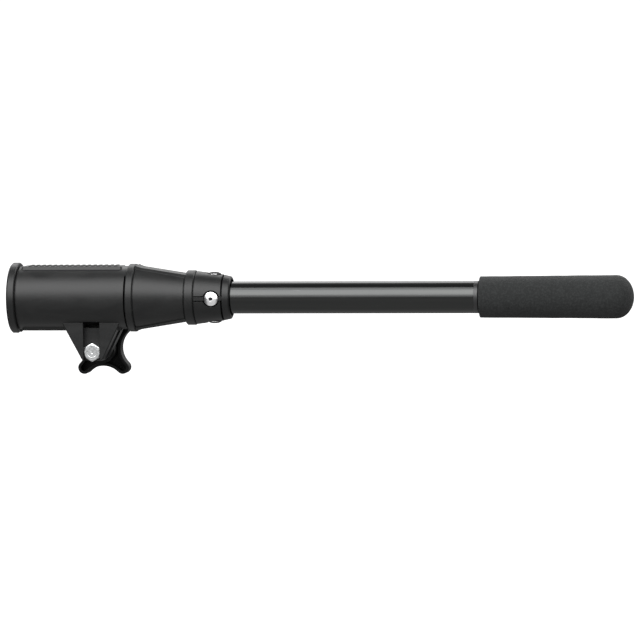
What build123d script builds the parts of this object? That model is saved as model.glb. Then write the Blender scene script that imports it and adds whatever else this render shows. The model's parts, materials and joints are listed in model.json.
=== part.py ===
from build123d import *
from math import cos, radians, sin, sqrt
import os

# Telescoping tiller extension handle, in millimetres.
# Origin: centre of the tiller socket's mouth, on the bore axis.
# +X runs along the handle to the foam grip, +Z is up, and the clamp ears hang down.

os.makedirs("parts", exist_ok=True)

# Tiller socket
bore_radius = 19.05
cup_radius = 22.0
mouth_flange_radius = 24.5
mouth_flange_length = 5.5
cup_end = 82.8
shoulder_radius = 23.5
shoulder_end = 88.0
cone_start_radius = 22.3
cone_end = 123.2
cone_end_radius = 17.1
collar_ring_radius = 18.9
collar_ring_end = 129.6
ring_bevel = 0.6
mouth_bevel = 1.0
finger_start_radius = 18.3
finger_end = 148.3
finger_end_radius = 16.0
cavity_start_radius = 17.0
cavity_end_radius = 13.8
cavity_end = 121.0
land_start = 7.0
land_end = 79.5
land_half_width = 9.8
land_corner_radius = 2.5
land_root = 19.0
land_height = 22.2
land_draft = 25.0
land_edge_radius = 0.4
tread_start = 13.5
tread_length = 1.9
tread_half_width = 6.3
tread_height = 0.6
tread_count = 16
tread_pitch = 4.0
cone_rib_half_width = 9.5
cone_rib_root = 12.0
cone_rib_shoulder_height = 22.9
cone_rib_start_height = 21.0
cone_rib_end_height = 16.3
cone_rib_slope_start = 94.0
cone_rib_sag = 0.75
groove_width = 0.7
groove_depth = 1.1
fine_groove_depth = 0.7
split_width = 10.0
split_middle = -30.0
split_height = 36.0
relief_width = 1.1
relief_bridge_angle = 86.0

# Clamp ears, bolt and knob
ear_thickness = 9.5
ear_root = -16.0
ear_root_front = 36.9
ear_root_rear = 78.2
ear_tip = -42.8
ear_tip_front = 51.3
ear_tip_rear = 65.0
ear_corner_radius = 2.2
ear_edge_radius = 0.8
bolt_x = 57.8
bolt_z = -37.1
bolt_hole_radius = 3.3
head_across_flats = 11.11
head_height = 4.1
head_chamfer_radius = 5.2
head_chamfer_depth = 0.8
head_corner_radius = 6.7
channel_width = 11.6
channel_depth = 5.6
channel_brow = -15.2
channel_top = -17.3
channel_overcut = 3.0
channel_window_root = -18.9
channel_window_end = -20.4
head_recess_radius = 3.3
head_recess_depth = 0.3
head_dimple_radius = 0.9
bolt_length = 44.45
bolt_shank_radius = 3.15
bolt_pitch = 1.27
bolt_thread_length = 20.3
bolt_tip_chamfer = 0.8
washer_radius = 7.95
washer_hole_radius = 3.55
washer_thickness = 1.6
knob_gap = 0.02
knob_hub_radius = 10.0
knob_lobe_start = 27.0
knob_lobe_offset = 13.6
knob_lobe_radius = 4.45
knob_waist = 12.4
knob_lobe_thickness = 12.0
knob_wall = 2.0
knob_edge_radius = 1.8
knob_under_radius = 0.6
knob_core_depth = 8.0
insert_radius = 5.5
insert_bore_radius = 3.24

# Tubes, collar and rivets
outer_tube_radius = 11.11
outer_tube_bore = 9.87
outer_tube_start = 84.0
outer_tube_end = 322.4
inner_tube_radius = 7.94
inner_tube_bore = 6.69
inner_tube_start = 106.0
inner_tube_end = 420.0
fit_gap = 0.02
slot_width = 3.8
key_width = 2.4
key_ring_start = 149.1
key_ring_end = 154.2
key_ring_counterbore = 12.9
rivet_x = 142.0
rivet_seat = 16.2
rivet_head_radius = 4.75
rivet_head_height = 1.5
rivet_rim_height = 0.3
rivet_shank_radius = 2.38
rivet_hole_radius = 2.45
rivet_foot = 9.92
boss_radius = 5.0
boss_clearance = 0.75
rivet_pin_radius = 1.25
rivet_pin_depth = 0.25

# Guide bush and tube plugs
bush_bore_radius = 8.02
bush_length = 14.4
bush_head_length = 3.2
plug_length = 4.0
plug_flange_length = 1.2

# Twist lock
sleeve_start = 90.8
sleeve_end = 104.2
sleeve_radius = 9.80
sleeve_web = 2.5
sleeve_slit_width = 2.0
sleeve_slit_length = 9.7
stud_radius = 3.0
stud_start = 89.2
stud_end = 112.0
stud_head_radius = 3.7
stud_head_length = 0.8
stud_pitch = 1.0
lock_plug_end = 124.0
lock_collar_start = 104.4
roll_pin_x = 117.0
roll_pin_radius = 1.5
roll_pin_length = 15.4
wedge_start = 92.8
wedge_end = 100.8
wedge_start_radius = 7.70
wedge_end_radius = 5.94
wedge_bore_radius = 3.05
wedge_key_width = 1.8
wedge_key_reach = 9.2
seat_clearance = 0.06
seat_slope = (wedge_start_radius - wedge_end_radius) / (wedge_end - wedge_start)
stop_washer_radius = 5.2
stop_washer_thickness = 1.5

# Foam grip
grip_start = 326.0
grip_end = 431.3
grip_start_radius = 14.2
grip_end_radius = 14.9
grip_nose = 12.0
grip_start_chamfer = 0.4
grip_bore_radius = 7.97
grip_bore_end = 421.7
grip_plug_length = 10.0
grip_plug_flange = 1.6

quarters = {"top": 0, "front": 90, "bottom": 180, "back": 270}

# ---------------------------------------------------------------- tiller socket
land_middle = (land_start + land_end) / 2
ear_outer = split_width / 2 + ear_thickness
channel_floor = channel_depth - ear_outer
tube_seat_radius = outer_tube_radius + fit_gap

with BuildPart() as tiller_socket:
    # The two clamp ears, as one block that the split divides.
    with BuildSketch(Plane.XZ.offset(-ear_outer)):
        with BuildLine():
            Polyline(
                (ear_root_front, ear_root),
                (ear_tip_front, ear_tip),
                (ear_tip_rear, ear_tip),
                (ear_root_rear, ear_root),
                close=True,
            )
        make_face()
        fillet(vertices().group_by(Axis.Y)[0], radius=ear_corner_radius)
    extrude(amount=2 * ear_outer)
    ear_faces = faces().group_by(Axis.Y)
    fillet(ear_faces[0].edges() + ear_faces[-1].edges(), radius=ear_edge_radius)

    # Flat lands along the top and the bottom of the cup, with drafted sides.
    for side in (1, -1):
        with BuildSketch(Plane(origin=(land_middle, 0, side * land_root), z_dir=(0, 0, side))):
            RectangleRounded(land_end - land_start, 2 * land_half_width, land_corner_radius)
        extrude(amount=land_height - land_root, taper=land_draft)
    fillet(edges().group_by(Axis.Z)[-1], radius=land_edge_radius)

    # Turned envelope: mouth flange, cup, shoulder, cone, collar ring and taper,
    # with a fine groove where each step meets the next surface.
    with BuildSketch(Plane.XY):
        with BuildLine():
            Polyline(
                (0, 0),
                (0, mouth_flange_radius - mouth_bevel),
                (mouth_bevel, mouth_flange_radius),
                (mouth_flange_length - ring_bevel, mouth_flange_radius),
                (mouth_flange_length, mouth_flange_radius - ring_bevel),
                (mouth_flange_length, cup_radius - groove_depth),
                (mouth_flange_length + groove_width, cup_radius - groove_depth),
                (mouth_flange_length + groove_width, cup_radius),
                (cup_end, cup_radius),
                (cup_end, shoulder_radius - ring_bevel),
                (cup_end + ring_bevel, shoulder_radius),
                (shoulder_end - ring_bevel, shoulder_radius),
                (shoulder_end, shoulder_radius - ring_bevel),
                (shoulder_end, cone_start_radius - fine_groove_depth),
                (shoulder_end + groove_width, cone_start_radius - fine_groove_depth),
                (shoulder_end + groove_width, cone_start_radius),
                (cone_end - groove_width, cone_end_radius),
                (cone_end - groove_width, cone_end_radius - fine_groove_depth),
                (cone_end, cone_end_radius - fine_groove_depth),
                (cone_end, collar_ring_radius - ring_bevel),
                (cone_end + ring_bevel, collar_ring_radius),
                (collar_ring_end - ring_bevel, collar_ring_radius),
                (collar_ring_end, collar_ring_radius - ring_bevel),
                (collar_ring_end, finger_start_radius - groove_depth),
                (collar_ring_end + groove_width, finger_start_radius - groove_depth),
                (collar_ring_end + groove_width, finger_start_radius),
                (finger_end, finger_end_radius),
                (finger_end, 0),
                close=True,
            )
        make_face()
    revolve(axis=Axis.X)

    # Flat lands along the top and the bottom of the cone: a rib, then a cut level with it.
    for side in (1, -1):
        for half_width, edge, mode in (
            (cone_rib_half_width, cone_rib_root, Mode.ADD),
            (mouth_flange_radius, cup_radius + cone_rib_root, Mode.SUBTRACT),
        ):
            with BuildSketch(Plane.XZ.offset(-half_width)):
                with BuildLine():
                    Polyline(
                        (cone_rib_slope_start, side * cone_rib_start_height),
                        (cone_end, side * cone_rib_end_height),
                        (cone_end, side * edge),
                        (shoulder_end, side * edge),
                        (shoulder_end, side * cone_rib_shoulder_height),
                    )
                    ThreePointArc(
                        (shoulder_end, side * cone_rib_shoulder_height),
                        (shoulder_end + 2.6, side * (cone_rib_start_height + cone_rib_sag)),
                        (cone_rib_slope_start, side * cone_rib_start_height),
                    )
                make_face()
            extrude(amount=2 * half_width, mode=mode)

    # Low tread bars across the top land.
    for bar in range(tread_count):
        with Locations((tread_start + tread_pitch * bar, 0, land_height)):
            Box(tread_length, 2 * tread_half_width, 2 * tread_height)

    # Clear the socket bore, the cone's cavity and the collar bore.
    with BuildSketch(Plane.XY):
        with BuildLine():
            Polyline(
                (-1.0, 0),
                (-1.0, bore_radius),
                (cup_end, bore_radius),
                (cup_end, cavity_start_radius),
                (cavity_end, cavity_end_radius),
                (cavity_end, tube_seat_radius),
                (finger_end + 1.0, tube_seat_radius),
                (finger_end + 1.0, 0),
                close=True,
            )
        make_face()
    revolve(axis=Axis.X, mode=Mode.SUBTRACT)

    # Split along the bottom, and the relief slot that lets the cup close on the tiller.
    with Locations(((cup_end - 1.0) / 2, 0, split_middle)):
        Box(cup_end + 1.0, split_width, split_height, mode=Mode.SUBTRACT)
    half_bridge = radians(relief_bridge_angle / 2)
    reach = 30.0
    with BuildSketch(Plane.YZ.offset(cup_end - relief_width)):
        with BuildLine():
            Polyline(
                (0, 0),
                (reach * sin(half_bridge), reach * cos(half_bridge)),
                (reach, -reach),
                (-reach, -reach),
                (-reach * sin(half_bridge), reach * cos(half_bridge)),
                close=True,
            )
        make_face()
    extrude(amount=relief_width, mode=Mode.SUBTRACT)

    # Bolt hole through both ears, and the wrench channel in the near ear with a window
    # into the split at its upper end.
    with BuildSketch(Plane.XZ.offset(-ear_outer - 1.0)):
        with Locations((bolt_x, bolt_z)):
            Circle(bolt_hole_radius)
    extrude(amount=2 * ear_outer + 2.0, mode=Mode.SUBTRACT)
    with BuildSketch(Plane.YZ.offset(bolt_x - channel_width / 2)):
        with BuildLine():
            Polyline(
                (-ear_outer - channel_overcut, channel_brow),
                (channel_floor, channel_top),
                (channel_floor, ear_tip - 1.0),
                (-ear_outer - channel_overcut, ear_tip - 1.0),
                close=True,
            )
        make_face()
    extrude(amount=channel_width, mode=Mode.SUBTRACT)
    with BuildSketch(Plane.YZ.offset(bolt_x - channel_width / 2)):
        with BuildLine():
            Polyline(
                (channel_floor - 1.0, channel_top),
                (channel_floor, channel_top),
                (1.0 - split_width / 2, channel_window_root),
                (1.0 - split_width / 2, channel_window_end),
                (channel_floor - 1.0, channel_window_end),
                close=True,
            )
        make_face()
    extrude(amount=channel_width, mode=Mode.SUBTRACT)

    # Slots that split the collar into four fingers, each pair sharing a round window.
    for angle in quarters.values():
        with BuildSketch(Plane.YZ.offset(collar_ring_end + 0.4)):
            with Locations(Rot(0, 0, angle) * Pos(15.0, 0)):
                Rectangle(14.0, slot_width)
        extrude(amount=finger_end - collar_ring_end + 1.0, mode=Mode.SUBTRACT)
        with Locations(Rot(angle, 0, 0) * Pos(rivet_x, 0, 15.0)):
            Cylinder(boss_radius + boss_clearance, 14.0, mode=Mode.SUBTRACT)
tiller_socket.part.label = "tiller_socket"
export_step(tiller_socket.part, "parts/tiller_socket.step")

# ---------------------------------------------------------------- collar key ring
taper = (finger_start_radius - finger_end_radius) / (finger_end - collar_ring_end)
key_start = collar_ring_end + 0.5
key_top_start = finger_start_radius - 0.1 - taper * (key_start - collar_ring_end)
key_top_end = finger_end_radius - 0.1
key_foot = outer_tube_radius + 0.2

with BuildPart() as collar_key_ring:
    with BuildSketch(Plane.XY):
        with BuildLine():
            Polyline(
                (key_ring_end, 13.4),
                (key_ring_end, key_ring_counterbore),
                (key_ring_end - 3.0, key_ring_counterbore),
                (key_ring_end - 3.0, tube_seat_radius),
                (key_ring_start, tube_seat_radius),
                (key_ring_start, 15.2),
                (key_ring_start + 0.4, 15.6),
                (key_ring_end - 1.5, 14.9),
            )
            ThreePointArc(
                (key_ring_end - 1.5, 14.9),
                (key_ring_end - 0.4, 14.4),
                (key_ring_end, 13.4),
            )
        make_face()
    revolve(axis=Axis.X)
    for angle in quarters.values():
        with BuildSketch(Plane.XZ.rotated((angle, 0, 0)).offset(-key_width / 2)):
            with BuildLine():
                Polyline(
                    (key_start, key_foot),
                    (key_start, key_top_start),
                    (finger_end, key_top_end),
                    (key_ring_start + 0.5, 15.2),
                    (key_ring_start + 0.5, key_foot),
                    close=True,
                )
            make_face()
        extrude(amount=key_width)
        with Locations(Rot(angle, 0, 0) * Pos(rivet_x, 0, (key_foot + rivet_seat) / 2)):
            Cylinder(boss_radius, rivet_seat - key_foot)
    with BuildSketch(Plane.YZ.offset(key_start - 1.0)):
        Circle(tube_seat_radius)
    extrude(amount=key_ring_end - key_start + 2.0, mode=Mode.SUBTRACT)
    for angle in quarters.values():
        with Locations(Rot(angle, 0, 0) * Pos(rivet_x, 0, 15.0)):
            Cylinder(rivet_hole_radius, 12.0, mode=Mode.SUBTRACT)
        with Locations(Rot(angle, 0, 0) * Pos(rivet_x, 0, rivet_seat + 2.0)):
            Cylinder(boss_radius, 4.0, mode=Mode.SUBTRACT)
collar_key_ring.part.label = "collar_key_ring"
export_step(collar_key_ring.part, "parts/collar_key_ring.step")

# ---------------------------------------------------------------- drive rivets and pins
rivet_top = rivet_seat + rivet_head_height
pin_foot = rivet_foot + 0.6
pin_top = rivet_top - rivet_pin_depth
for place, angle in quarters.items():
    with BuildPart() as rivet:
        with BuildSketch(Plane.XZ.rotated((angle, 0, 0))):
            with BuildLine():
                Polyline(
                    (rivet_x + rivet_pin_radius, rivet_top),
                    (rivet_x + rivet_pin_radius, pin_foot),
                    (rivet_x, pin_foot),
                    (rivet_x, rivet_foot),
                    (rivet_x + rivet_shank_radius, rivet_foot),
                    (rivet_x + rivet_shank_radius, rivet_seat),
                    (rivet_x + rivet_head_radius, rivet_seat),
                    (rivet_x + rivet_head_radius, rivet_seat + rivet_rim_height),
                )
                ThreePointArc(
                    (rivet_x + rivet_head_radius, rivet_seat + rivet_rim_height),
                    (rivet_x + 0.66 * rivet_head_radius, rivet_top - 0.38),
                    (rivet_x + rivet_pin_radius, rivet_top),
                )
            make_face()
        revolve(axis=Axis((rivet_x, 0, 0), (0, -sin(radians(angle)), cos(radians(angle)))))
    rivet.part.label = "drive_rivet_" + place
    export_step(rivet.part, "parts/drive_rivet_" + place + ".step")

    with BuildPart() as rivet_pin:
        with Locations(Rot(angle, 0, 0) * Pos(rivet_x, 0, (pin_foot + pin_top) / 2)):
            Cylinder(rivet_pin_radius, pin_top - pin_foot)
    rivet_pin.part.label = "rivet_pin_" + place
    export_step(rivet_pin.part, "parts/rivet_pin_" + place + ".step")

# ---------------------------------------------------------------- outer tube and its fittings
with BuildPart() as outer_tube:
    with BuildSketch(Plane.YZ.offset(outer_tube_start)):
        Circle(outer_tube_radius)
        Circle(outer_tube_bore, mode=Mode.SUBTRACT)
    extrude(amount=outer_tube_end - outer_tube_start)
    for angle in quarters.values():
        with Locations(Rot(angle, 0, 0) * Pos(rivet_x, 0, outer_tube_radius)):
            Cylinder(rivet_hole_radius, 6.0, mode=Mode.SUBTRACT)
outer_tube.part.label = "outer_tube"
export_step(outer_tube.part, "parts/outer_tube.step")

with BuildPart() as guide_bush:
    with BuildSketch(Plane.XY):
        with BuildLine():
            Polyline(
                (outer_tube_end - bush_length, bush_bore_radius + 0.5),
                (outer_tube_end - bush_length + 0.5, bush_bore_radius),
                (outer_tube_end + bush_head_length - 0.5, bush_bore_radius),
                (outer_tube_end + bush_head_length, bush_bore_radius + 0.5),
                (outer_tube_end + bush_head_length, outer_tube_radius - 0.6),
                (outer_tube_end + bush_head_length - 0.6, outer_tube_radius),
                (outer_tube_end, outer_tube_radius),
                (outer_tube_end, outer_tube_bore - fit_gap),
                (outer_tube_end - bush_length + 0.6, outer_tube_bore - fit_gap),
                (outer_tube_end - bush_length, outer_tube_bore - 0.6),
                close=True,
            )
        make_face()
    revolve(axis=Axis.X)
guide_bush.part.label = "guide_bush"
export_step(guide_bush.part, "parts/guide_bush.step")

with BuildPart() as tube_end_plug:
    with BuildSketch(Plane.XY):
        with BuildLine():
            Polyline(
                (outer_tube_start - plug_flange_length, 0),
                (outer_tube_start - plug_flange_length, outer_tube_radius - 0.5),
                (outer_tube_start - plug_flange_length + 0.5, outer_tube_radius),
                (outer_tube_start, outer_tube_radius),
                (outer_tube_start, outer_tube_bore - fit_gap),
                (outer_tube_start + plug_length - 0.5, outer_tube_bore - fit_gap),
                (outer_tube_start + plug_length, outer_tube_bore - 0.5),
                (outer_tube_start + plug_length, outer_tube_bore - 1.8),
                (outer_tube_start + 1.2, outer_tube_bore - 1.8),
                (outer_tube_start + 1.2, 0),
                close=True,
            )
        make_face()
    revolve(axis=Axis.X)
tube_end_plug.part.label = "tube_end_plug"
export_step(tube_end_plug.part, "parts/tube_end_plug.step")

# ---------------------------------------------------------------- clamp bolt and washer
knob_plane = Plane(origin=(bolt_x, 0, bolt_z), x_dir=(1, 0, 0), z_dir=(0, 1, 0))
bolt_axis = Axis((bolt_x, 0, bolt_z), (0, 1, 0))
head_seat = channel_floor
head_top = head_seat - head_height
bolt_tip = head_seat + bolt_length
thread_start = bolt_tip - bolt_thread_length
thread_depth = 0.45
thread_turns = int((bolt_tip - bolt_tip_chamfer - thread_start) / bolt_pitch)

with BuildPart() as clamp_bolt:
    with BuildSketch(knob_plane.offset(head_top)):
        RegularPolygon(head_across_flats / 2, 6, major_radius=False, rotation=30)
    extrude(amount=head_height)
    with BuildSketch(Plane.XY.offset(bolt_z)):
        with BuildLine():
            Polyline(
                (bolt_x, head_top),
                (bolt_x + head_chamfer_radius, head_top),
                (bolt_x + head_corner_radius, head_top + head_chamfer_depth),
                (bolt_x + head_corner_radius, head_seat),
                (bolt_x, head_seat),
                close=True,
            )
        make_face()
    revolve(axis=bolt_axis, mode=Mode.INTERSECT)
    with BuildSketch(knob_plane.offset(head_top)):
        Circle(head_recess_radius)
    extrude(amount=head_recess_depth, mode=Mode.SUBTRACT)
    with BuildSketch(knob_plane.offset(head_top)):
        Circle(head_dimple_radius)
    extrude(amount=2 * head_recess_depth, mode=Mode.SUBTRACT)
    with BuildSketch(Plane.XY.offset(bolt_z)):
        with BuildLine():
            Polyline(
                (bolt_x, head_seat - 0.5),
                (bolt_x + bolt_shank_radius, head_seat - 0.5),
                (bolt_x + bolt_shank_radius, bolt_tip - bolt_tip_chamfer),
                (bolt_x + bolt_shank_radius - bolt_tip_chamfer, bolt_tip),
                (bolt_x, bolt_tip),
                close=True,
            )
        make_face()
    revolve(axis=bolt_axis)
    with BuildSketch(Plane.XY.offset(bolt_z)):
        for turn in range(thread_turns):
            crest = thread_start + turn * bolt_pitch
            with BuildLine():
                Polyline(
                    (bolt_x + bolt_shank_radius + 0.1, crest),
                    (bolt_x + bolt_shank_radius - thread_depth, crest + bolt_pitch * 0.40),
                    (bolt_x + bolt_shank_radius + 0.1, crest + bolt_pitch * 0.80),
                    close=True,
                )
            make_face()
    revolve(axis=bolt_axis, mode=Mode.SUBTRACT)
clamp_bolt.part.label = "clamp_bolt"
export_step(clamp_bolt.part, "parts/clamp_bolt.step")

with BuildPart() as knob_washer:
    with BuildSketch(knob_plane.offset(ear_outer)):
        Circle(washer_radius)
        Circle(washer_hole_radius, mode=Mode.SUBTRACT)
    extrude(amount=washer_thickness)
knob_washer.part.label = "knob_washer"
export_step(knob_washer.part, "parts/knob_washer.step")

# ---------------------------------------------------------------- four-lobe knob
# The waist arcs touch both neighbouring lobe ends, so their radius follows from the waist.
lobe_gap = knob_waist - knob_lobe_offset
waist_radius = (
    lobe_gap**2 + knob_lobe_offset**2 - knob_lobe_radius**2
) / (2 * (knob_lobe_radius - lobe_gap))
waist_centre = knob_waist + waist_radius
centre_distance = waist_radius + knob_lobe_radius
touch_long = knob_lobe_offset + knob_lobe_radius * (waist_centre - knob_lobe_offset) / centre_distance
touch_short = knob_lobe_offset - knob_lobe_radius * knob_lobe_offset / centre_distance
knob_base = ear_outer + washer_thickness + knob_gap
knob_face = knob_lobe_start + knob_lobe_thickness

with BuildSketch() as knob_outline:
    with BuildLine():
        Polyline(
            (touch_long, -touch_short),
            (touch_long, touch_short),
            (touch_short, touch_long),
            (-touch_short, touch_long),
            (-touch_long, touch_short),
            (-touch_long, -touch_short),
            (-touch_short, -touch_long),
            (touch_short, -touch_long),
            close=True,
        )
    make_face()
    with PolarLocations(knob_lobe_offset * sqrt(2), 4, start_angle=45):
        Circle(knob_lobe_radius)
    with PolarLocations(waist_centre, 4):
        Circle(waist_radius, mode=Mode.SUBTRACT)

with BuildPart() as clamp_knob:
    with BuildSketch(knob_plane.offset(knob_lobe_start)):
        add(knob_outline.sketch)
    extrude(amount=knob_lobe_thickness)
    fillet(edges().group_by(Axis.Y)[-1], radius=knob_edge_radius)
    fillet(edges().group_by(Axis.Y)[0], radius=knob_under_radius)
    with BuildSketch(knob_plane.offset(knob_base)):
        Circle(knob_hub_radius)
    extrude(amount=knob_lobe_start - knob_base + 1.0)
    with BuildSketch(knob_plane.offset(knob_lobe_start)):
        add(knob_outline.sketch)
        offset(amount=-knob_wall, kind=Kind.ARC)
        Circle(knob_hub_radius, mode=Mode.SUBTRACT)
    extrude(amount=knob_core_depth, mode=Mode.SUBTRACT)
    with BuildSketch(knob_plane.offset(knob_base)):
        Circle(insert_radius + fit_gap)
    extrude(amount=14.0, mode=Mode.SUBTRACT)
    with BuildSketch(knob_plane.offset(knob_base)):
        Circle(bolt_shank_radius + 0.3)
    extrude(amount=knob_face - 3.0 - knob_base, mode=Mode.SUBTRACT)
clamp_knob.part.label = "clamp_knob"
export_step(clamp_knob.part, "parts/clamp_knob.step")

with BuildPart() as knob_insert:
    with BuildSketch(knob_plane.offset(knob_base + 0.5)):
        Circle(insert_radius)
        Circle(insert_bore_radius, mode=Mode.SUBTRACT)
    extrude(amount=13.5)
knob_insert.part.label = "knob_insert"
export_step(knob_insert.part, "parts/knob_insert.step")

# ---------------------------------------------------------------- inner tube and grip plug
with BuildPart() as inner_tube:
    with BuildSketch(Plane.YZ.offset(inner_tube_start)):
        Circle(inner_tube_radius)
        Circle(inner_tube_bore, mode=Mode.SUBTRACT)
    extrude(amount=inner_tube_end - inner_tube_start)
    with Locations((roll_pin_x, 0, 0)):
        Cylinder(roll_pin_radius + fit_gap, 20.0, mode=Mode.SUBTRACT)
inner_tube.part.label = "inner_tube"
export_step(inner_tube.part, "parts/inner_tube.step")

with BuildPart() as grip_end_plug:
    with BuildSketch(Plane.XY):
        with BuildLine():
            Polyline(
                (inner_tube_end - grip_plug_length, 0),
                (inner_tube_end - grip_plug_length, inner_tube_bore - 0.6),
                (inner_tube_end - grip_plug_length + 0.6, inner_tube_bore - fit_gap),
                (inner_tube_end, inner_tube_bore - fit_gap),
                (inner_tube_end, inner_tube_radius),
                (inner_tube_end + grip_plug_flange - 0.4, inner_tube_radius),
                (inner_tube_end + grip_plug_flange, inner_tube_radius - 0.4),
                (inner_tube_end + grip_plug_flange, 0),
                close=True,
            )
        make_face()
    revolve(axis=Axis.X)
grip_end_plug.part.label = "grip_end_plug"
export_step(grip_end_plug.part, "parts/grip_end_plug.step")

# ---------------------------------------------------------------- foam grip
with BuildPart() as foam_grip:
    with BuildSketch(Plane.XY):
        with BuildLine():
            Polyline(
                (grip_end, 0),
                (grip_bore_end, 0),
                (grip_bore_end, grip_bore_radius),
                (grip_start, grip_bore_radius),
                (grip_start, grip_start_radius - grip_start_chamfer),
                (grip_start + grip_start_chamfer, grip_start_radius),
                (grip_end - grip_nose, grip_end_radius),
            )
            EllipticalCenterArc(
                (grip_end - grip_nose, 0), grip_nose, grip_end_radius, start_angle=0, arc_size=90
            )
        make_face()
    revolve(axis=Axis.X)
foam_grip.part.label = "foam_grip"
export_step(foam_grip.part, "parts/foam_grip.step")

# ---------------------------------------------------------------- twist lock
with BuildPart() as lock_plug:
    with BuildSketch(Plane.XY):
        with BuildLine():
            Polyline(
                (lock_collar_start, stud_radius + fit_gap),
                (lock_collar_start, inner_tube_radius - 0.3),
                (lock_collar_start + 0.3, inner_tube_radius),
                (inner_tube_start, inner_tube_radius),
                (inner_tube_start, inner_tube_bore - fit_gap),
                (lock_plug_end - 0.8, inner_tube_bore - fit_gap),
                (lock_plug_end, inner_tube_bore - 0.8),
                (lock_plug_end, 0),
                (stud_end + 0.2, 0),
                (stud_end + 0.2, stud_radius + fit_gap),
                close=True,
            )
        make_face()
    revolve(axis=Axis.X)
    with Locations((roll_pin_x, 0, 0)):
        Cylinder(roll_pin_radius + fit_gap, 20.0, mode=Mode.SUBTRACT)
lock_plug.part.label = "lock_plug"
export_step(lock_plug.part, "parts/lock_plug.step")

with BuildPart() as plug_roll_pin:
    with BuildSketch(Plane.XY.offset(-roll_pin_length / 2)):
        with Locations((roll_pin_x, 0)):
            Circle(roll_pin_radius)
            Circle(roll_pin_radius - 0.5, mode=Mode.SUBTRACT)
            with Locations((roll_pin_radius, 0)):
                Rectangle(2.0, 0.5, mode=Mode.SUBTRACT)
    extrude(amount=roll_pin_length)
plug_roll_pin.part.label = "plug_roll_pin"
export_step(plug_roll_pin.part, "parts/plug_roll_pin.step")

stud_thread_turns = int((lock_collar_start - stud_start - 4.0) / stud_pitch)
with BuildPart() as lock_stud:
    with BuildSketch(Plane.XY):
        with BuildLine():
            Polyline(
                (stud_start, 0),
                (stud_start, stud_head_radius - 0.3),
                (stud_start + 0.3, stud_head_radius),
                (stud_start + stud_head_length, stud_head_radius),
                (stud_start + stud_head_length, stud_radius),
                (stud_end, stud_radius),
                (stud_end, 0),
                close=True,
            )
        make_face()
    revolve(axis=Axis.X)
    with BuildSketch(Plane.XY):
        for turn in range(stud_thread_turns):
            crest = stud_start + 2.6 + turn * stud_pitch
            with BuildLine():
                Polyline(
                    (crest, stud_radius + 0.1),
                    (crest + stud_pitch * 0.4, stud_radius - 0.4),
                    (crest + stud_pitch * 0.8, stud_radius + 0.1),
                    close=True,
                )
            make_face()
    revolve(axis=Axis.X, mode=Mode.SUBTRACT)
lock_stud.part.label = "lock_stud"
export_step(lock_stud.part, "parts/lock_stud.step")

with BuildPart() as stop_washer:
    with BuildSketch(Plane.YZ.offset(stud_start + stud_head_length)):
        Circle(stop_washer_radius)
        Circle(stud_radius + fit_gap, mode=Mode.SUBTRACT)
    extrude(amount=stop_washer_thickness)
stop_washer.part.label = "stop_washer"
export_step(stop_washer.part, "parts/stop_washer.step")

seat_start_radius = wedge_start_radius + seat_clearance + seat_slope * (wedge_start - sleeve_start)
web_start = sleeve_end - sleeve_web
seat_end_radius = seat_start_radius - seat_slope * (web_start - sleeve_start)
with BuildPart() as lock_sleeve:
    with BuildSketch(Plane.XY):
        with BuildLine():
            Polyline(
                (sleeve_start, seat_start_radius),
                (web_start, seat_end_radius),
                (web_start, stud_radius + 0.1),
                (sleeve_end, stud_radius + 0.1),
                (sleeve_end, sleeve_radius - 0.6),
                (sleeve_end - 0.6, sleeve_radius),
                (sleeve_start + 0.6, sleeve_radius),
                (sleeve_start, sleeve_radius - 0.6),
                close=True,
            )
        make_face()
    revolve(axis=Axis.X)
    with Locations((sleeve_start + sleeve_slit_length / 2 - 0.5, 0, 0)):
        Box(sleeve_slit_length + 1.0, sleeve_slit_width, 30.0, mode=Mode.SUBTRACT)
        Box(sleeve_slit_length + 1.0, 30.0, sleeve_slit_width, mode=Mode.SUBTRACT)
lock_sleeve.part.label = "lock_sleeve"
export_step(lock_sleeve.part, "parts/lock_sleeve.step")

with BuildPart() as wedge_nut:
    with BuildSketch(Plane.XY):
        with BuildLine():
            Polyline(
                (wedge_start, wedge_bore_radius),
                (wedge_end, wedge_bore_radius),
                (wedge_end, wedge_end_radius),
                (wedge_start, wedge_start_radius),
                close=True,
            )
        make_face()
    revolve(axis=Axis.X)
    with Locations((wedge_start + 3.8, 0, 0)):
        Box(6.0, wedge_key_width, 2 * wedge_key_reach)
    with BuildSketch(Plane.YZ.offset(wedge_start - 1.0)):
        Circle(wedge_bore_radius)
    extrude(amount=wedge_end - wedge_start + 2.0, mode=Mode.SUBTRACT)
wedge_nut.part.label = "wedge_nut"
export_step(wedge_nut.part, "parts/wedge_nut.step")
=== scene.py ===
import json
import math

import bmesh
import bpy
from mathutils import Matrix, Vector, noise


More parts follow.
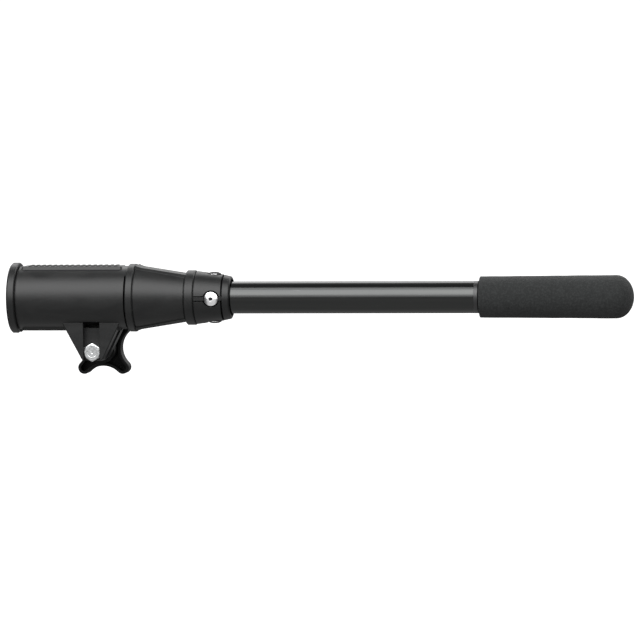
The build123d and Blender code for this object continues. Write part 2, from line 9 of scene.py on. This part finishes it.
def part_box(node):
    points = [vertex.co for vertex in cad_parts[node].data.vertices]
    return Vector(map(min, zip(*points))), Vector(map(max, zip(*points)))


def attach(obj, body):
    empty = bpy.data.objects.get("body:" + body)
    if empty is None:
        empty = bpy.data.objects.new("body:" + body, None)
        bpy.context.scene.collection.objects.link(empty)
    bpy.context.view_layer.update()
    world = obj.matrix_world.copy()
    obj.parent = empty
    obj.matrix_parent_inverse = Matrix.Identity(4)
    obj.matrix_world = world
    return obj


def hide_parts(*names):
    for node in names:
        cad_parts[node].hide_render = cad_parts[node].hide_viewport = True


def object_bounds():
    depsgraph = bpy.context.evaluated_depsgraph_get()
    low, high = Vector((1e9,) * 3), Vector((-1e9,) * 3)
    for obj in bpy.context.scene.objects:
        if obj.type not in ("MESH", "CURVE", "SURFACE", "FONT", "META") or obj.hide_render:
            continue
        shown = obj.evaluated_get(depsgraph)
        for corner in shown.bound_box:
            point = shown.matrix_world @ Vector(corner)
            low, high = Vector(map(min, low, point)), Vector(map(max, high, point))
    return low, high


# Telescoping tiller extension handle: looks, foam grip, studio and camera. Metres throughout.

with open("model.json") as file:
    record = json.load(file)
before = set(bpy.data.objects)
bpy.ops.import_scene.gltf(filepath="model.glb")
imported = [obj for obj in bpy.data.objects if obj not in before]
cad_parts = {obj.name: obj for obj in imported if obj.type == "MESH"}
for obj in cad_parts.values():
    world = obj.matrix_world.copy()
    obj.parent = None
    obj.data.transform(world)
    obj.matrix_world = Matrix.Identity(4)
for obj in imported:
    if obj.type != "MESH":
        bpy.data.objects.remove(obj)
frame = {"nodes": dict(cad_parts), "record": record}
cad_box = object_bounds()
nodes = frame["nodes"]
slot_of = {part["node"]: part["material_slot"] for part in frame["record"]["subparts"]}
MM = 0.001


# ---------------------------------------------------------------- node material helpers
class Shader:
    """One material's node tree, with short calls for the nodes used here."""

    def __init__(self, name):
        self.material = bpy.data.materials.new(name)
        self.material.use_nodes = True
        self.tree = self.material.node_tree
        self.tree.nodes.clear()
        output = self.add("ShaderNodeOutputMaterial")
        self.surface = self.add("ShaderNodeBsdfPrincipled")
        self.link(self.surface.outputs["BSDF"], output.inputs["Surface"])
        self.place = self.add("ShaderNodeTexCoord").outputs["Object"]

    def add(self, kind):
        return self.tree.nodes.new(kind)

    def link(self, source, target):
        self.tree.links.new(source, target)

    def feed(self, socket, value):
        if isinstance(value, bpy.types.NodeSocket):
            self.link(value, socket)
        else:
            socket.default_value = value

    def stretch(self, scale):
        """The object's coordinates scaled along each axis, which draws a texture out."""
        node = self.add("ShaderNodeMapping")
        node.inputs["Scale"].default_value = scale
        self.link(self.place, node.inputs["Vector"])
        return node.outputs["Vector"]

    def noise(self, size, detail=2.0, vector=None, rough=0.5, distort=0.0):
        """Noise from 0 to 1 whose features are about size metres across."""
        node = self.add("ShaderNodeTexNoise")
        self.link(vector or self.place, node.inputs["Vector"])
        node.inputs["Scale"].default_value = 1.0 / size
        node.inputs["Detail"].default_value = detail
        node.inputs["Roughness"].default_value = rough
        node.inputs["Distortion"].default_value = distort
        return node.outputs["Fac"]

    def cells(self, size):
        """Distance from the middle of the nearest cell, for cells about size metres across."""
        node = self.add("ShaderNodeTexVoronoi")
        self.link(self.place, node.inputs["Vector"])
        node.inputs["Scale"].default_value = 1.0 / size
        return node.outputs["Distance"]

    def ramp(self, value, low, high, start=0.0, end=1.0):
        """Smooth step from start to end while value goes from low to high."""
        node = self.add("ShaderNodeMapRange")
        node.interpolation_type = "SMOOTHSTEP"
        self.feed(node.inputs["Value"], value)
        node.inputs["From Min"].default_value = low
        node.inputs["From Max"].default_value = high
        node.inputs["To Min"].default_value = start
        node.inputs["To Max"].default_value = end
        return node.outputs["Result"]

    def math(self, kind, first, second=0.0):
        node = self.add("ShaderNodeMath")
        node.operation = kind
        self.feed(node.inputs[0], first)
        self.feed(node.inputs[1], second)
        return node.outputs[0]

    def mix(self, factor, first, second):
        node = self.add("ShaderNodeMix")
        node.data_type = "RGBA"
        self.feed(node.inputs["Factor"], factor)
        self.feed(node.inputs["A"], first)
        self.feed(node.inputs["B"], second)
        return node.outputs["Result"]

    def edges(self, radius):
        """The rounded normal near sharp edges, and a mask that is 1 along those edges."""
        bevel = self.add("ShaderNodeBevel")
        bevel.samples = 6
        bevel.inputs["Radius"].default_value = radius
        geometry = self.add("ShaderNodeNewGeometry")
        dot = self.add("ShaderNodeVectorMath")
        dot.operation = "DOT_PRODUCT"
        self.link(bevel.outputs["Normal"], dot.inputs[0])
        self.link(geometry.outputs["Normal"], dot.inputs[1])
        mask = self.ramp(dot.outputs["Value"], 0.98, 0.80)
        return bevel.outputs["Normal"], mask

    def bump(self, height, depth, normal=None):
        node = self.add("ShaderNodeBump")
        self.link(height, node.inputs["Height"])
        node.inputs["Distance"].default_value = depth
        node.inputs["Strength"].default_value = 1.0
        if normal is not None:
            self.link(normal, node.inputs["Normal"])
        return node.outputs["Normal"]

    def finish(self, color, roughness, normal, metallic=0.0, **constants):
        self.feed(self.surface.inputs["Base Color"], color)
        self.feed(self.surface.inputs["Roughness"], roughness)
        self.link(normal, self.surface.inputs["Normal"])
        self.surface.inputs["Metallic"].default_value = metallic
        for name, value in constants.items():
            self.surface.inputs[name.replace("_", " ")].default_value = value
        return self.material


def rgb(red, green, blue):
    return (red, green, blue, 1.0)


# ---------------------------------------------------------------- materials
NYLON_SPECK = rgb(0.020, 0.020, 0.020)
NYLON_SCUFF = rgb(0.032, 0.033, 0.033)
TUBE_RUB = rgb(0.16, 0.16, 0.16)
TUBE_WORN_EDGE = rgb(0.42, 0.43, 0.43)
METAL_WORN_EDGE = rgb(0.93, 0.93, 0.92)
# Near-black colour painted onto metal where it is seen at a slant: painted shade that follows the
# view.
METAL_PAINTED_SLANT_SHADE = rgb(0.03, 0.03, 0.03)
SLANT_START, SLANT_FULL = 0.18, 0.50
BRUSH_DEPTH = 0.006 * MM
FOAM_DARK = rgb(0.0036, 0.0041, 0.0041)
FOAM_LIGHT = rgb(0.0060, 0.0066, 0.0066)
# Lighter colour for the raised cell walls is a painted highlight; darker colour for the sunken
# pits is painted shade.
FOAM_WALL_HIGHLIGHT = rgb(0.0155, 0.0168, 0.0168)
FOAM_PIT_SHADE = rgb(0.0030, 0.0033, 0.0033)
FOAM_BLOTCH = rgb(0.0185, 0.0196, 0.0196)


def moulded_nylon(name, base, light, roughness, specular):
    """Glass-filled nylon: fine grain, faint flow marks, rubbed edges."""
    s = Shader(name)
    grain = s.noise(0.35 * MM, detail=3.0, rough=0.65)
    flow = s.noise(9 * MM, detail=3.0, vector=s.stretch((0.35, 1.0, 1.0)), distort=0.6)
    fibres = s.noise(0.5 * MM, detail=1.0, vector=s.stretch((0.18, 1.0, 1.0)))
    specks = s.ramp(s.noise(0.8 * MM, detail=1.0), 0.66, 0.74)
    rounded, worn = s.edges(0.28 * MM)
    scuffed = s.math("MULTIPLY", worn, s.ramp(s.noise(2.2 * MM, detail=3.0), 0.42, 0.62))
    color = s.mix(s.ramp(flow, 0.35, 0.68), rgb(*base), rgb(*light))
    color = s.mix(s.math("MULTIPLY", specks, 0.35), color, NYLON_SPECK)
    color = s.mix(s.math("MULTIPLY", scuffed, 0.55), color, NYLON_SCUFF)
    gloss = s.math("ADD", s.ramp(flow, 0.3, 0.7, roughness, roughness + 0.06),
                   s.ramp(grain, 0.3, 0.7, -0.03, 0.05))
    gloss = s.math("SUBTRACT", gloss, s.math("MULTIPLY", scuffed, 0.08))
    height = s.math("ADD", grain, s.math("MULTIPLY", fibres, 0.6))
    normal = s.bump(height, 0.012 * MM, rounded)
    normal = s.bump(flow, 0.05 * MM, normal)
    return s.finish(color, gloss, normal, IOR=1.5, Specular_IOR_Level=specular)


def smooth_acetal(name, base, light, roughness):
    """Turned acetal rod: close machining rings, slight cloudiness."""
    s = Shader(name)
    cloud = s.noise(4 * MM, detail=3.0)
    rings = s.noise(0.25 * MM, detail=1.0, vector=s.stretch((1.0, 0.03, 0.03)))
    rounded, worn = s.edges(0.3 * MM)
    color = s.mix(s.ramp(cloud, 0.35, 0.65), rgb(*base), rgb(*light))
    color = s.mix(s.math("MULTIPLY", worn, 0.3), color, rgb(*[min(1.0, 1.9 * c) for c in light]))
    gloss = s.ramp(rings, 0.3, 0.7, roughness, roughness + 0.12)
    normal = s.bump(rings, 0.008 * MM, rounded)
    return s.finish(color, gloss, normal, IOR=1.48)


def anodised_tube(name, base, light, roughness, line_depth):
    """Drawn aluminium tube, dyed black: lengthwise draw lines and a few light rub marks."""
    s = Shader(name)
    along = s.stretch((0.012, 1.0, 1.0))
    lines = s.noise(0.30 * MM, detail=3.0, vector=along, rough=0.6)
    bands = s.noise(2.6 * MM, detail=2.0, vector=along)
    cloud = s.noise(22 * MM, detail=3.0)
    rubs = s.ramp(s.noise(0.5 * MM, detail=2.0, vector=s.stretch((0.06, 1.0, 0.8)), distort=0.8),
                  0.70, 0.78)
    rounded, worn = s.edges(0.25 * MM)
    color = s.mix(s.ramp(bands, 0.3, 0.7), rgb(*base), rgb(*light))
    color = s.mix(s.math("MULTIPLY", rubs, 0.22), color, TUBE_RUB)
    color = s.mix(s.math("MULTIPLY", worn, 0.5), color, TUBE_WORN_EDGE)
    gloss = s.math("ADD", s.ramp(lines, 0.3, 0.7, roughness, roughness + 0.05),
                   s.ramp(cloud, 0.35, 0.65, 0.0, 0.03))
    normal = s.bump(lines, line_depth, rounded)
    return s.finish(color, gloss, normal, metallic=1.0, IOR=1.5)


def bright_metal(name, base, dark, roughness, brush, wear=0.35, tint=None, painted_slant_shade=0.0):
    """Plated or turned metal: fine brushing, mottled plating, brighter edges.

    The last argument, from 0 to 1, paints shade: it darkens and dulls the surfaces that are seen
    at a slant, so this painted shade follows the view."""
    s = Shader(name)
    mottle = s.noise(1.6 * MM, detail=4.0, rough=0.6)
    brushed = s.noise(0.16 * MM, detail=2.0, vector=s.stretch(brush))
    pits = s.ramp(s.noise(0.45 * MM, detail=2.0), 0.68, 0.78)
    rounded, worn = s.edges(0.22 * MM)
    color = s.mix(s.ramp(mottle, 0.35, 0.70), rgb(*base), rgb(*(tint or base)))
    color = s.mix(s.math("MULTIPLY", pits, 0.55), color, rgb(*dark))
    color = s.mix(s.math("MULTIPLY", worn, wear), color, METAL_WORN_EDGE)
    gloss = s.math("ADD", s.ramp(brushed, 0.3, 0.7, roughness, roughness + 0.10),
                   s.ramp(mottle, 0.35, 0.7, 0.0, 0.08))
    # Painted shade: the colour turns near black and the gloss dulls where the surface is seen at
    # a slant.
    if painted_slant_shade:
        facing = s.add("ShaderNodeLayerWeight").outputs["Facing"]
        painted_shade = s.ramp(facing, SLANT_START, SLANT_FULL, 0.0, painted_slant_shade)
        dulled = s.ramp(facing, SLANT_START, SLANT_FULL, 0.0, 0.4 * painted_slant_shade)
        color = s.mix(painted_shade, color, METAL_PAINTED_SLANT_SHADE)
        gloss = s.math("ADD", gloss, dulled)
    normal = s.bump(brushed, BRUSH_DEPTH, rounded)
    edge = 1.0 - painted_slant_shade
    return s.finish(color, gloss, normal, metallic=1.0, Specular_Tint=rgb(edge, edge, edge))


def grip_foam(name):
    """Closed-cell foam: small cells whose raised walls are painted lighter as a painted highlight
    and whose sunken pits are painted darker as painted shade, and a slightly blotchy skin.
    """
    s = Shader(name)
    cell = s.cells(0.55 * MM)
    fine = s.cells(0.24 * MM)
    skin = s.noise(5 * MM, detail=4.0, rough=0.6)
    blotch = s.noise(1.3 * MM, detail=2.0)
    pits = s.ramp(cell, 0.22, 0.02)
    wall_highlight = s.ramp(fine, 0.35, 0.62)
    color = s.mix(s.ramp(skin, 0.32, 0.70), FOAM_DARK, FOAM_LIGHT)
    # Painted highlight on the raised cell walls, then painted shade in the sunken pits.
    color = s.mix(s.math("MULTIPLY", wall_highlight, 0.45), color, FOAM_WALL_HIGHLIGHT)
    color = s.mix(s.math("MULTIPLY", pits, 0.55), color, FOAM_PIT_SHADE)
    color = s.mix(s.ramp(blotch, 0.44, 0.64, 0.0, 0.65), color, FOAM_BLOTCH)
    gloss = s.ramp(blotch, 0.3, 0.7, 0.80, 0.94)
    height = s.math("SUBTRACT", s.math("MULTIPLY", wall_highlight, 0.5), s.math("MULTIPLY", pits, 0.8))
    normal = s.bump(height, 0.10 * MM)
    normal = s.bump(blotch, 0.22 * MM, normal)
    return s.finish(color, gloss, normal, IOR=1.45, Specular_IOR_Level=0.2, Sheen_Weight=0.05,
                    Sheen_Roughness=0.6)


ACROSS = (1.0, 0.04, 1.0)
LENGTHWISE = (0.04, 1.0, 1.0)
looks = {
    "socket_nylon": moulded_nylon("socket_nylon", (0.0050, 0.0052, 0.0053),
                                  (0.0074, 0.0076, 0.0076), 0.34, 0.25),
    # The knob's nylon is a darker, duller copy of the socket's: painted shade, for the knob sits
    # in the shade of the ears.
    "knob_nylon": moulded_nylon("knob_nylon", (0.0016, 0.0017, 0.0018),
                                (0.0028, 0.0029, 0.0030), 0.42, 0.13),
    "black_acetal": smooth_acetal("black_acetal", (0.005, 0.005, 0.0055), (0.009, 0.009, 0.0095),
                                  0.30),
    "natural_acetal": smooth_acetal("natural_acetal", (0.74, 0.71, 0.62), (0.82, 0.79, 0.72),
                                    0.34),
    "black_anodised": anodised_tube("black_anodised", (0.040, 0.041, 0.041),
                                    (0.047, 0.048, 0.047), 0.11, 0.0035 * MM),
    "satin_anodised": anodised_tube("satin_anodised", (0.060, 0.061, 0.063),
                                    (0.074, 0.075, 0.077), 0.24, 0.005 * MM),
    "turned_aluminium": bright_metal("turned_aluminium", (0.70, 0.71, 0.72), (0.35, 0.35, 0.36),
                                     0.24, (1.0, 0.05, 0.05)),
    # The rivet heads carry painted shade that turns them near black where they are seen at a
    # slant.
    "rivet_aluminium": bright_metal("rivet_aluminium", (0.88, 0.88, 0.89), (0.50, 0.50, 0.50),
                                    0.20, LENGTHWISE, tint=(0.80, 0.80, 0.80), painted_slant_shade=0.95),
    # The rivet pins' steel is near black: painted shade that makes each pin read as a dark hole.
    "rivet_steel": bright_metal("rivet_steel", (0.022, 0.022, 0.023), (0.01, 0.01, 0.01),
                                0.48, ACROSS, wear=0.05),
    "zinc_steel": bright_metal("zinc_steel", (0.60, 0.61, 0.62), (0.14, 0.14, 0.13),
                               0.24, LENGTHWISE, wear=0.9, tint=(0.30, 0.31, 0.30)),
    "spring_steel": bright_metal("spring_steel", (0.28, 0.28, 0.29), (0.10, 0.10, 0.10),
                                 0.32, ACROSS),
    "insert_brass": bright_metal("insert_brass", (0.76, 0.57, 0.27), (0.36, 0.24, 0.10),
                                 0.24, (1.0, 0.05, 1.0), wear=0.2),
    "grip_foam": grip_foam("grip_foam"),
}
washer_look = bright_metal("blackened_steel", (0.10, 0.10, 0.10), (0.04, 0.04, 0.04), 0.36,
                           LENGTHWISE, wear=0.05)
for name, node in nodes.items():
    node.data.materials.clear()
    node.data.materials.append(washer_look if name == "knob_washer" else looks[slot_of[name]])


# ---------------------------------------------------------------- foam grip
GRIP_TURNS = 112
NOSE_LENGTH = 12 * MM
NOSE_STEPS = 14
RIM_RADIUS = 0.5 * MM
RIM_STEPS = 5
SIDE_STEP = 1.6 * MM
START_TO_END = 14.2 / 14.9
FOAM_GAP = 0.08 * MM
END_STEPS = 4
BORE_STEPS = 40
LUMP_SIZE, LUMP_HEIGHT = 9 * MM, 0.10 * MM
POCK_SIZE, POCK_HEIGHT = 1.9 * MM, 0.045 * MM
POCK_SHIFT = Vector((7.0, 3.0, 1.0))
SKIN_INSET = 0.06 * MM


def grip_profile():
    """(along, radius) points of the grip's section, from the rim round the nose into the bore."""
    low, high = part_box("foam_grip")
    tube_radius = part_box("inner_tube")[1].z
    plug_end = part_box("grip_end_plug")[1].x
    full = (high.z - low.z) / 2
    start = full * START_TO_END
    bore = tube_radius + FOAM_GAP
    points = [(low.x, bore + (start - RIM_RADIUS - bore) * k / END_STEPS)
              for k in range(END_STEPS)]
    for k in range(RIM_STEPS + 1):
        turn = math.pi / 2 * k / RIM_STEPS
        points.append((low.x + RIM_RADIUS * (1 - math.cos(turn)),
                       start - RIM_RADIUS * (1 - math.sin(turn))))
    side_start, side_end = low.x + RIM_RADIUS, high.x - NOSE_LENGTH
    count = round((side_end - side_start) / SIDE_STEP)
    for k in range(1, count):
        share = k / count
        points.append((side_start + (side_end - side_start) * share,
                       start + (full - start) * share))
    for k in range(NOSE_STEPS):
        turn = math.pi / 2 * k / NOSE_STEPS
        points.append((side_end + NOSE_LENGTH * math.sin(turn), full * math.cos(turn)))
    tip = len(points)
    points.append((high.x, 0.0))
    floor = plug_end + FOAM_GAP
    points.append((floor, 0.0))
    points += [(floor, bore * k / END_STEPS) for k in range(1, END_STEPS + 1)]
    points += [(floor + (low.x - floor) * k / BORE_STEPS, bore) for k in range(1, BORE_STEPS)]
    return points, tip, bore


def uneven(point, radius, bore):
    """How far the foam's skin stands in or out here: soft lumps and small pocks."""
    if radius < bore * 1.02:
        return 0.0
    lumps = noise.noise(point / LUMP_SIZE) * LUMP_HEIGHT
    pocks = noise.noise(point / POCK_SIZE + POCK_SHIFT) * POCK_HEIGHT
    return lumps + pocks - SKIN_INSET


def make_grip():
    """The foam grip as one closed skin, turned about the handle's axis."""
    points, tip, bore = grip_profile()
    mesh = bmesh.new()
    rings = []
    for along, radius in points:
        if radius == 0.0:
            rings.append([mesh.verts.new((along, 0.0, 0.0))])
            continue
        ring = []
        for k in range(GRIP_TURNS):
            turn = 2 * math.pi * k / GRIP_TURNS
            out = Vector((0.0, math.cos(turn), math.sin(turn)))
            place = Vector((along, 0.0, 0.0)) + out * radius
            ring.append(mesh.verts.new(place + out * uneven(place, radius, bore)))
        rings.append(ring)
    for index, (ring, after) in enumerate(zip(rings, rings[1:] + rings[:1])):
        if index == tip:
            continue
        for k in range(GRIP_TURNS):
            m = (k + 1) % GRIP_TURNS
            corners = [ring[k % len(ring)], ring[m % len(ring)],
                       after[m % len(after)], after[k % len(after)]]
            corners = [c for i, c in enumerate(corners) if c not in corners[:i]]
            mesh.faces.new(corners)
    bmesh.ops.recalc_face_normals(mesh, faces=mesh.faces)
    data = bpy.data.meshes.new("foam_grip_skin")
    mesh.to_mesh(data)
    mesh.free()
    data.polygons.foreach_set("use_smooth", [True] * len(data.polygons))
    data.materials.append(looks["grip_foam"])
    grip = bpy.data.objects.new("foam_grip_skin", data)
    bpy.context.scene.collection.objects.link(grip)
    finer = grip.modifiers.new("finer", "SUBSURF")
    finer.levels = finer.render_levels = 1
    return grip


grip = make_grip()
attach(grip, "grip")
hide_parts("foam_grip")


# ---------------------------------------------------------------- studio
FLOOR_DROP = 0.30
DOME_RADIUS = 12.0
SOFTBOX_DISTANCE = 1.5
SOFTBOX_LENGTH = 3.2
SOFTBOXES = (
    # name, lowest and highest elevation in degrees, radiance
    ("key_foot", 4.0, 12.0, 1.4),
    ("key_low", 12.0, 22.0, 3.2),
    ("key_middle", 22.0, 60.0, 6.6),
    ("key_high", 60.0, 76.0, 3.6),
    ("back_strip", 126.0, 150.0, 2.2),
)
BACKDROP_STRENGTH = 1.1
# World strength over the front and sides, and towards the back, above and below the horizon.
UPPER_FRONT, UPPER_BACK = 0.40, 1.15
LOWER_FRONT, LOWER_BACK = 0.80, 0.35
SIDE_SHARE = 0.12

middle = (cad_box[0] + cad_box[1]) / 2


def camera_only(thing):
    """Leaves a thing visible to the camera alone, so that it neither lights nor shades."""
    thing.visible_diffuse = False
    thing.visible_glossy = False
    thing.visible_transmission = False
    thing.visible_volume_scatter = False
    thing.visible_shadow = False


def stage_mesh(name, mesh, material):
    data = bpy.data.meshes.new(name)
    mesh.to_mesh(data)
    mesh.free()
    data.materials.append(material)
    thing = bpy.data.objects.new(name, data)
    bpy.context.scene.collection.objects.link(thing)
    camera_only(thing)
    return thing


def glow(name, strength):
    """A plain white emitting material."""
    material = bpy.data.materials.new(name)
    material.use_nodes = True
    tree = material.node_tree
    tree.nodes.clear()
    output = tree.nodes.new("ShaderNodeOutputMaterial")
    light = tree.nodes.new("ShaderNodeEmission")
    light.inputs["Strength"].default_value = strength
    tree.links.new(light.outputs[0], output.inputs["Surface"])
    return material


def floor_paper():
    """Pale paper with a painted glow that is weakest under the object and rises to full white
    around it, so it is greyest under the object.
    """
    s = Shader("floor_paper")
    length = s.add("ShaderNodeVectorMath")
    length.operation = "LENGTH"
    s.link(s.place, length.inputs[0])
    # Painted glow: the paper emits light, least under the object and most far from it.
    painted_glow_level = s.ramp(length.outputs["Value"], 0.35, 1.6, 0.50, 1.0)
    tooth = s.noise(0.9 * MM, detail=3.0)
    color = s.mix(tooth, rgb(0.56, 0.56, 0.56), rgb(0.60, 0.60, 0.60))
    s.surface.inputs["Emission Color"].default_value = rgb(1.0, 1.0, 1.0)
    s.link(painted_glow_level, s.surface.inputs["Emission Strength"])
    return s.finish(color, 0.9, s.bump(tooth, 0.02 * MM))


floor_mesh = bmesh.new()
bmesh.ops.create_grid(floor_mesh, x_segments=4, y_segments=4, size=DOME_RADIUS)
floor = stage_mesh("floor", floor_mesh, floor_paper())
floor.location = (middle.x, 0.0, cad_box[0].z - FLOOR_DROP)

dome_mesh = bmesh.new()
bmesh.ops.create_icosphere(dome_mesh, subdivisions=4, radius=DOME_RADIUS)
dome = stage_mesh("backdrop", dome_mesh, glow("backdrop_white", BACKDROP_STRENGTH))
dome.location = (middle.x, 0.0, 0.0)


def softbox(name, low, high, radiance):
    """A long panel that fills the elevations from low to high, from the front over the top."""
    tilt = math.radians((low + high) / 2)
    height = 2 * SOFTBOX_DISTANCE * math.tan(math.radians(high - low) / 2)
    data = bpy.data.lights.new(name, "AREA")
    data.shape = "RECTANGLE"
    data.size, data.size_y = SOFTBOX_LENGTH, height
    data.energy = radiance * math.pi * SOFTBOX_LENGTH * height
    light = bpy.data.objects.new(name, data)
    bpy.context.scene.collection.objects.link(light)
    away = Vector((0.0, -math.cos(tilt), math.sin(tilt)))
    light.location = Vector((middle.x, 0.0, 0.0)) + away * SOFTBOX_DISTANCE
    light.rotation_mode = "QUATERNION"
    light.rotation_quaternion = away.to_track_quat("Z", "Y")
    light.visible_camera = False


for softbox_facts in SOFTBOXES:
    softbox(*softbox_facts)

world = bpy.data.worlds.new("studio")
bpy.context.scene.world = world
world.use_nodes = True
tree = world.node_tree
tree.nodes.clear()


def world_ramp(value, low, high, start, end):
    """The world's own smooth step from start to end while value goes from low to high."""
    node = tree.nodes.new("ShaderNodeMapRange")
    node.interpolation_type = "SMOOTHSTEP"
    tree.links.new(value, node.inputs["Value"])
    node.inputs["From Min"].default_value = low
    node.inputs["From Max"].default_value = high
    node.inputs["To Min"].default_value = start
    node.inputs["To Max"].default_value = end
    return node.outputs["Result"]


direction = tree.nodes.new("ShaderNodeSeparateXYZ")
tree.links.new(tree.nodes.new("ShaderNodeTexCoord").outputs["Generated"], direction.inputs[0])
upper = world_ramp(direction.outputs["Y"], 0.25, 0.70, UPPER_FRONT, UPPER_BACK)
lower = world_ramp(direction.outputs["Y"], 0.40, 0.90, LOWER_FRONT, LOWER_BACK)
level = tree.nodes.new("ShaderNodeMix")
tree.links.new(world_ramp(direction.outputs["Z"], -0.06, 0.06, 0.0, 1.0), level.inputs["Factor"])
tree.links.new(lower, level.inputs["A"])
tree.links.new(upper, level.inputs["B"])
sideways = tree.nodes.new("ShaderNodeMath")
sideways.operation = "ABSOLUTE"
tree.links.new(direction.outputs["X"], sideways.inputs[0])
dimmed = tree.nodes.new("ShaderNodeMath")
dimmed.operation = "MULTIPLY"
tree.links.new(level.outputs["Result"], dimmed.inputs[0])
tree.links.new(world_ramp(sideways.outputs[0], 0.45, 0.80, 1.0, SIDE_SHARE), dimmed.inputs[1])
sky = tree.nodes.new("ShaderNodeBackground")
tree.links.new(dimmed.outputs[0], sky.inputs["Strength"])
world_output = tree.nodes.new("ShaderNodeOutputWorld")
tree.links.new(sky.outputs[0], world_output.inputs["Surface"])


# ---------------------------------------------------------------- camera
VIEW_AZIMUTH = 8.2
VIEW_ELEVATION = 3.8
VIEW_ROLL = -0.61
VIEW_DISTANCE = 2.9
LENS = 237.2
SENSOR_WIDTH = 36.0
AIM_SHIFT = Vector((-0.40 * MM, 0.0, -0.3 * MM))

camera_data = bpy.data.cameras.new("camera")
camera_data.lens = LENS
camera_data.sensor_width = SENSOR_WIDTH
camera_data.clip_start, camera_data.clip_end = 0.05, 60.0
camera = bpy.data.objects.new("camera", camera_data)
bpy.context.scene.collection.objects.link(camera)
bpy.context.scene.camera = camera

azimuth, elevation = math.radians(VIEW_AZIMUTH), math.radians(VIEW_ELEVATION)
back = Vector((math.sin(azimuth) * math.cos(elevation), -math.cos(azimuth) * math.cos(elevation),
               math.sin(elevation)))
level_right = Vector((math.cos(azimuth), math.sin(azimuth), 0.0))
level_up = back.cross(level_right)
roll = math.radians(VIEW_ROLL)
right = level_right * math.cos(roll) + level_up * math.sin(roll)
up = level_up * math.cos(roll) - level_right * math.sin(roll)
aim = Vector((middle.x, 0.0, middle.z)) + AIM_SHIFT
turn = Matrix((right, up, back)).transposed()
camera.matrix_world = Matrix.Translation(aim + back * VIEW_DISTANCE) @ turn.to_4x4()

bpy.context.scene.view_settings.view_transform = "Standard"
